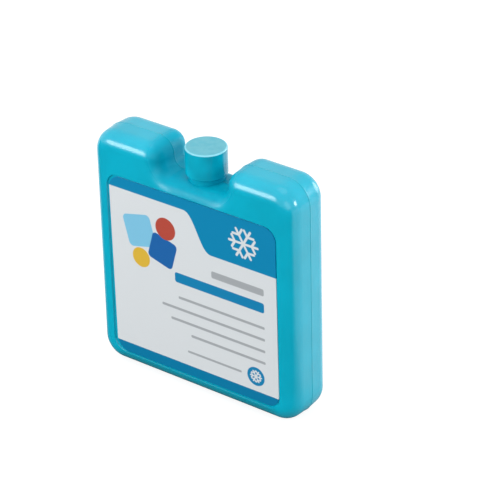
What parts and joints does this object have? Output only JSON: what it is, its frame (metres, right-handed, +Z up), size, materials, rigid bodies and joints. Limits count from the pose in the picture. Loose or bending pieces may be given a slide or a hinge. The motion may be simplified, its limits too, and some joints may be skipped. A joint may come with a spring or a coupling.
{
  "type": "reusable ice pack",
  "caption": "Slim blow-moulded ice brick with soft corners, a notch in its top edge for a round filler cap, and a shallow label panel in each face.",
  "frame": {"origin": "middle of the flat foot under the brick's lower edge, halfway through its thickness", "axes": "+X along the width, to the right as the label is read; -Y out of the labelled face; +Z up, towards the filler cap"},
  "size_m": [0.07, 0.0164, 0.0756],
  "materials": {
    "shell": "satin moulded polyethylene, slightly see-through",
    "cap": "satin moulded polyethylene",
    "label": "printed card under a satin film"
  },
  "bodies": {
    "root": {"brick_body": "shell", "filler_cap": "cap", "front_label": "label"}
  },
  "joints": []
}
